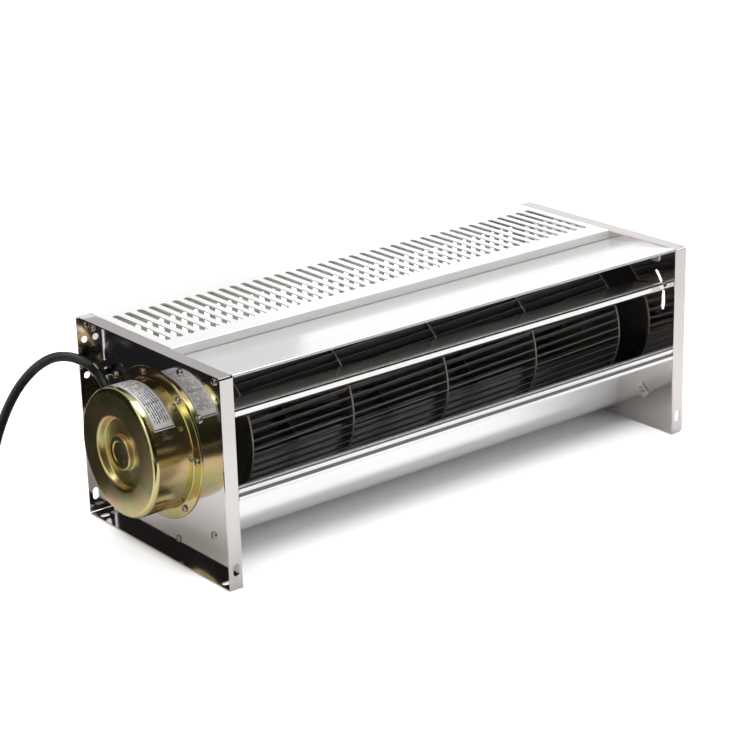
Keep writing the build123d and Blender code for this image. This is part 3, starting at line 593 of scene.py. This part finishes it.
def makeTie():
    # A strap with rounded corners round the bundle, its lock and the short cut end
    facts = tieFacts
    strap = bmesh.new()
    corners = [strap.verts.new((x * facts["half"], -facts["width"] / 2, z * facts["half"]))
               for x, z in ((-1, -1), (1, -1), (1, 1), (-1, 1))]
    for a, b in zip(corners, corners[1:] + corners[:1]):
        strap.edges.new((a, b))
    bmesh.ops.bevel(strap, geom=corners, offset=facts["corner"], segments=5, profile=0.5,
                    affect="VERTICES", material=-1)
    made = bmesh.ops.extrude_edge_only(strap, edges=strap.edges[:])
    moved = [item for item in made["geom"] if isinstance(item, bmesh.types.BMVert)]
    bmesh.ops.translate(strap, verts=moved, vec=(0, facts["width"], 0))
    bmesh.ops.recalc_face_normals(strap, faces=strap.faces)
    bmesh.ops.solidify(strap, geom=strap.faces[:], thickness=-facts["sheet"])
    lock = makeBlock(facts["lock"], (0, 0, facts["rise"]), facts["lockEdge"], 2)
    cutEnd = makeBlock(facts["cutEnd"], (facts["cutEndAt"], 0, facts["rise"]))
    tie = joinMeshes([strap, lock, cutEnd])
    place = Matrix.Translation(onCoil(facts["angle"], facts["radius"], facts["height"]))
    facing = Matrix.Rotation(radians(facts["angle"]), 4, "Z")
    bmesh.ops.transform(tie, matrix=place @ facing, verts=tie.verts)
    piece = addPiece("bundle_tie", tie, finishes["tie"], "housing")
    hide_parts("cable_tie")
    return piece


grommetFacts = {
    "x": -0.308, "angle": 33,  # along the motor, and round the shaft in degrees from the back
    "exit": 0.066,  # how far from the shaft the cable comes out
    "rounds": {3: 0.0005, 4: 0.0004}, "steps": 48,
    # Outline as (distance from the shaft, radius)
    "profile": [(0.0615, 0.0050), (0.0615, 0.0069), (0.0661, 0.0069), (0.0661, 0.0094), (0.0683, 0.0094),
                (0.0688, 0.0082), (0.0706, 0.0080), (0.0706, 0.0073), (0.0720, 0.0073), (0.0720, 0.0077),
                (0.0738, 0.0075), (0.0738, 0.0068), (0.0752, 0.0068), (0.0752, 0.0071), (0.0780, 0.0063),
                (0.0780, 0.0050), (0.0615, 0.0050)],
}


def makeGrommet():
    facts = grommetFacts
    mesh = turnProfile(drawProfile(facts["profile"], facts["rounds"], 3), facts["steps"])
    turn = radians(facts["angle"])
    moveTo(mesh, onShaft(0, 0, facts["x"]), (0, cos(turn), sin(turn)))
    piece = addPiece("lead_grommet", mesh, finishes["grommet"], "housing")
    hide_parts("cable_grommet")
    return piece


cable = makeCable()
plugPieces = makePlug()
tie = makeTie()
grommet = makeGrommet()
print("cable made")


# Motor

motorFacts = {
    # Outline of the front cup as (x, radius), from the flange's rim over the rounded rim into the recess
    "outside": [(-0.2940, 0.0780), (-0.2955, 0.0780), (-0.2955, 0.0660), (-0.3400, 0.0660), (-0.3400, 0.0370),
                (-0.3320, 0.0345), (-0.3320, 0.0176), (-0.3380, 0.0176), (-0.3380, 0.0125), (-0.3372, 0.0117),
                (-0.3372, 0.0)],
    "rounds": {1: 0.0006, 2: 0.0014, 3: 0.0050, 4: 0.0026, 5: 0.0014, 6: 0.0012, 7: 0.0016, 8: 0.0004},
    # The sheet's inner face, the same way round
    "inside": [(-0.2940, 0.0780), (-0.2940, 0.0645), (-0.3370, 0.0645), (-0.3385, 0.0630), (-0.3385, 0.0385),
               (-0.3305, 0.0360), (-0.3305, 0.01605), (-0.3365, 0.01605), (-0.3365, 0.0)],
    "steps": 144,
}


def makeCup():
    facts = motorFacts
    outside = turnProfile(drawProfile(facts["outside"], facts["rounds"], 6), facts["steps"])
    inside = turnProfile(drawProfile(facts["inside"], {}), facts["steps"])
    cup = joinMeshes([outside, inside])
    bmesh.ops.remove_doubles(cup, verts=cup.verts, dist=merge["made"])
    bmesh.ops.recalc_face_normals(cup, faces=cup.faces)
    bmesh.ops.translate(cup, verts=cup.verts, vec=(0, shaft["y"], shaft["z"]))
    piece = addPiece("motor_cup", cup, finishes["zinc"], "housing", 30)
    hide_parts("motor_front_cup")


makeCup()
print("motor made")


# Screws with cross recesses

screwFacts = {
    # Pan head from its seat upwards, as (height, radius)
    "head": [(0.0, 0.0), (0.0, 0.0038), (0.0012, 0.0038), (0.0021, 0.0030), (0.0024, 0.0016), (0.0024, 0.0)],
    "rounds": {2: 0.0003, 3: 0.0004}, "headSteps": 28,
    "height": 0.0024,
    "cross": (0.0011, 0.0042, 0.0009),  # depth, length and width of the cross recess
    "crown": 0.0008,  # how far below the top a face still belongs to the recess
    "shank": 0.0019, "tip": (0.0008, 0.0013), "shankSteps": 16,  # the tip's length and its radius at the end
    "spin": (37, 11),  # degrees from one recess to the next, and of the first
}


def makeHead():
    facts = screwFacts
    head = turnProfile(drawProfile(facts["head"], facts["rounds"], 2), facts["headSteps"])
    top = max(vert.co.x for vert in head.verts)
    depth, length, width = facts["cross"]
    # The recess is drawn by cutting the head with four planes and sinking the middle of the top
    for turn in (0, 90):
        for side in (-1, 1):
            normal = Vector((0, cos(radians(turn)), sin(radians(turn))))
            bmesh.ops.bisect_plane(head, geom=head.verts[:] + head.edges[:] + head.faces[:],
                                   dist=merge["sliver"], plane_co=normal * side * width / 2, plane_no=normal)
    sunk = []
    for face in head.faces:
        middle = face.calc_center_median()
        inArm = min(abs(middle.y), abs(middle.z)) < width / 2 and middle.yz.length < length / 2
        if inArm and middle.x > top - facts["crown"]:
            sunk.append(face)
    made = bmesh.ops.extrude_face_region(head, geom=sunk)
    bmesh.ops.delete(head, geom=sunk, context="FACES_KEEP_BOUNDARY")
    moved = [item for item in made["geom"] if isinstance(item, bmesh.types.BMVert)]
    bmesh.ops.translate(head, verts=moved, vec=(-depth, 0, 0))
    return head


def makeShank(length):
    radius = screwFacts["shank"]
    tipLength, tipRadius = screwFacts["tip"]
    outline = [(-length, 0.0), (-length, tipRadius), (tipLength - length, radius), (0.0, radius)]
    return turnProfile(drawProfile(outline, {}), screwFacts["shankSteps"])


def makeScrews(seats, side):
    # Pan head screws on their seats; side is the way the heads point along X
    step, first = screwFacts["spin"]
    meshes = []
    for number, (place, length) in enumerate(seats):
        screw = joinMeshes([makeHead(), makeShank(length)])
        meshes.append(moveTo(screw, place, (side, 0, 0), radians(step * number + first)))
    return joinMeshes(meshes)


def screwBoxes(node):
    # Two corners of the box round each screw of a CAD node, where each screw is a loose part
    mesh = copyNode(node)
    left = set(mesh.verts)
    boxes = []
    while left:
        screw = []
        border = [left.pop()]
        while border:
            vert = border.pop()
            screw.append(vert.co)
            for edge in vert.link_edges:
                other = edge.other_vert(vert)
                if other in left:
                    left.remove(other)
                    border.append(other)
        boxes.append([[pick(spot[axis] for spot in screw) for axis in range(3)] for pick in (min, max)])
    mesh.free()
    # Each run finds the loose parts in another order, and the order sets the turn of each recess
    boxes.sort(key=lambda box: [round(value, 5) for value in box[0]])
    return boxes


def dressScrews(node):
    # Replaces a node of pan head screws by heads with cross recesses, on the same seats
    height = screwFacts["height"]
    for side, word in ((-1, "left"), (1, "right")):
        seats = []
        for low, high in screwBoxes(node):
            middle = (Vector(low) + Vector(high)) / 2
            if middle.x * side > 0:
                seat = (high[0] if side > 0 else low[0]) - side * height
                seats.append(((seat, middle.y, middle.z), high[0] - low[0] - height))
        if seats:
            piece = addPiece(f"{node}_{word}", makeScrews(seats, side), finishes["screw"],
                             nodes[node]["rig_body"], 32)
            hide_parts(node)


for node in ("frame_screws", "motor_flange_screws", "bearing_holder_screws", "cable_clip_screw"):
    dressScrews(node)
print("screws made")


# The remaining nodes keep their CAD shape and get their finish

dressing = {
    "left_end_plate": ("plate", "plate_steel"),
    "right_end_plate": ("plate", "plate_steel"),
    "top_grille": ("grille", "grille_steel"),
    "rear_grille": ("grille", "grille_steel"),
    "front_cowl": ("cowl", "cowl_steel"),
    "scroll_sheet": ("scroll", "scroll_steel"),
    "tongue_bar": ("tongue", "tongue_steel"),
    "tongue_pivots": ("screw", "screw_steel"),
    "tongue_clamp_screws": ("screw", "screw_steel"),
    "drive_hub": ("hub", "hub_metal"),
    "end_hub": ("hub", "hub_metal"),
    "hub_rivets": ("screw", "screw_steel"),
    "hub_set_screws": ("screw", "screw_steel"),
    "motor_shaft": ("shaft", "shaft_steel"),
    "end_shaft": ("shaft", "shaft_steel"),
    "motor_rotor": ("rotor", "rotor_iron"),
    "bearing_inner_rings": ("bearing", "bearing_steel"),
    "bearing_outer_rings": ("bearing", "bearing_steel"),
    "motor_rear_cup": ("zinc", "motor_zinc"),
    "motor_label": ("label", "label_foil"),
    "stator_core": ("stator", "stator_iron"),
    "stator_coils": ("copper", "coil_copper"),
    "bearing_holder": ("holder", "holder_steel"),
    "bearing_rubber_ring": ("ring", "ring_rubber"),
    "cable_clip": ("plate", "plate_steel"),
}
for kind in ("impeller_disc_", "blade_row_"):
    for node in nodes:
        if node.startswith(kind):
            dressing[node] = ("black", "impeller_black")
for node, (finish, slot) in dressing.items():
    dressNode(node, finishes[finish])
print("nodes dressed:", len(dressing))


# Each blade's tab stands through the end discs and is folded over there

tabFacts = {
    "count": 48, "radius": 0.0693, "size": (0.0008, 0.0040, 0.0013), "edge": 0.0002,
    "turn": 24,  # how far the folded tab leans
}


def makeTabs(node, side):
    low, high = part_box(node)
    face = high.x if side > 0 else low.x
    tabs = []
    for number in range(tabFacts["count"]):
        tab = makeBlock(tabFacts["size"], (0, 0, 0), tabFacts["edge"])
        turn = 360 / tabFacts["count"] * number
        lean = Matrix.Rotation(radians(turn + tabFacts["turn"]), 4, "X")
        place = Matrix.Translation(onShaft(tabFacts["radius"], turn, face + side * tabFacts["size"][0] / 2))
        bmesh.ops.transform(tab, matrix=place @ lean, verts=tab.verts)
        tabs.append(tab)
    addPiece(node + "_tabs", joinMeshes(tabs), finishes["tabs"], "impeller")


makeTabs("impeller_disc_1", -1)
makeTabs("impeller_disc_5", 1)
print("blade tabs made")


# Floor, cards, lamps and world

studio = {
    "floor": 12.0,  # half of the floor's side
    "floorGrey": 0.86,
    "floorDrop": 0.0002,  # how far it lies below the fan
    # For the camera the floor turns white over the fade's length outside this outline, and endFade
    # times as fast past its ends
    "halfLength": 0.30, "halfDepth": 0.045, "fade": 0.06, "endFade": 2.5, "glow": 0.6,
    "cards": {
        # Only shiny faces see them: middle, size, grey, whether it stands, and how long its right end fades
        "behind_left": ((-0.96, 0.14, 0.40), (1.28, 0.80), 0.015, True),
        "over_left": ((-0.17, 0.15, 0.53), (0.30, 0.60), 0.55, True),
        "front": ((0.50, -0.85, 1.50), (5.0, 3.00), 0.015, True),
        "under_panel": ((-0.004, -0.1000, 0.002), (0.568, 0.066), 1.05, False, 0.20),
        "front_left": ((-0.78, -0.42, 0.004), (0.62, 0.66), 0.03, False),
    },
    "lamps": {
        "top": {"place": (0.15, 0.30, 2.1), "size": 1.5, "power": 36, "shiny": True},
        "left": {"place": (-1.7, -0.9, 1.7), "size": 1.0, "power": 6, "shiny": True},
        "front": {"place": (0.8, -2.2, 0.22), "size": 0.4, "power": 18, "shiny": False},
    },
    "aim": (0, 0, 0.1),  # what every lamp points at
    "sky": 0.49,  # the light of the room on rough faces
}


def addStage(name, mesh, material):
    data = bpy.data.meshes.new(name)
    mesh.to_mesh(data)
    mesh.free()
    data.materials.append(material)
    thing = bpy.data.objects.new(name, data)
    bpy.context.scene.collection.objects.link(thing)
    return thing


def makeFloor():
    mesh = bmesh.new()
    bmesh.ops.create_grid(mesh, x_segments=1, y_segments=1, size=studio["floor"])
    bmesh.ops.translate(mesh, verts=mesh.verts, vec=(0, 0, -studio["floorDrop"]))
    paint = Paint("pale_floor")
    seen = paint.node("ShaderNodeLightPath", output="Is Camera Ray")
    grey = studio["floorGrey"]
    shade = paint.node("ShaderNodeBsdfDiffuse", {}, {"Color": (grey, grey, grey, 1)})
    # How far a spot of the floor lies outside the fan's outline
    pastEnd = paint.maths("MAXIMUM", paint.maths("ABSOLUTE", paint.along(0)) - studio["halfLength"], 0.0)
    pastEnd = pastEnd * studio["endFade"]
    pastSide = paint.maths("MAXIMUM", paint.maths("ABSOLUTE", paint.along(1)) - studio["halfDepth"], 0.0)
    distance = paint.maths("SQRT", pastEnd * pastEnd + pastSide * pastSide)
    strength = paint.between(distance, 0.0, studio["fade"], 0.0, studio["glow"]) * seen
    glow = paint.node("ShaderNodeEmission", {}, {"Color": (1, 1, 1, 1), "Strength": strength})
    paint.close(paint.node("ShaderNodeAddShader", {}, {0: shade, 1: glow}))
    addStage("floor", mesh, paint.material)


def makeCard(name, place, size, grey, stands, fade=0):
    mesh = bmesh.new()
    bmesh.ops.create_grid(mesh, x_segments=1, y_segments=1, size=0.5)
    facing = Matrix.Rotation(pi / 2 * stands, 4, "X")
    matrix = Matrix.Translation(place) @ facing @ Matrix.Diagonal((*size, 1, 1))
    bmesh.ops.transform(mesh, matrix=matrix, verts=mesh.verts)
    paint = Paint(name)
    shade = paint.node("ShaderNodeEmission", {}, {"Color": (1, 1, 1, 1), "Strength": grey})
    if fade:
        end = place[0] + size[0] / 2
        gone = paint.between(paint.along(0), end - fade, end, 0.0, 1.0)
        clear = paint.node("ShaderNodeBsdfTransparent", {}, {"Color": (1, 1, 1, 1)})
        shade = paint.node("ShaderNodeMixShader", {}, {0: gone, 1: shade, 2: clear})
    paint.close(shade)
    card = addStage(name, mesh, paint.material)
    card.visible_camera = False
    card.visible_diffuse = False
    card.visible_shadow = False
    card.visible_transmission = False


def makeLamp(name, facts):
    data = bpy.data.lights.new(name, "AREA")
    data.size = facts["size"]
    data.energy = facts["power"]
    lamp = bpy.data.objects.new(name, data)
    lamp.location = facts["place"]
    lamp.visible_glossy = facts["shiny"]
    aim = Vector(studio["aim"]) - Vector(facts["place"])
    lamp.rotation_euler = aim.to_track_quat("-Z", "Y").to_euler()
    bpy.context.scene.collection.objects.link(lamp)


def makeWorld():
    # Camera, clear and shiny faces see a white room; rough faces get less light from it
    paint = Paint("studio", bpy.data.worlds)
    bpy.context.scene.world = paint.material
    rays = [paint.node("ShaderNodeLightPath", output=f"Is {kind} Ray")
            for kind in ("Camera", "Transmission", "Glossy")]
    seen = paint.maths("MAXIMUM", paint.maths("MAXIMUM", rays[0], rays[1]), rays[2])
    strength = paint.between(seen, 0.0, 1.0, studio["sky"], 1.0)
    room = paint.node("ShaderNodeBackground", {}, {"Color": (1, 1, 1, 1), "Strength": strength})
    paint.close(room, "ShaderNodeOutputWorld")


makeFloor()
for name, card in studio["cards"].items():
    makeCard(name, *card)
for name, facts in studio["lamps"].items():
    makeLamp(name, facts)
makeWorld()
bpy.context.scene.view_settings.view_transform = "Standard"
print("studio lit")
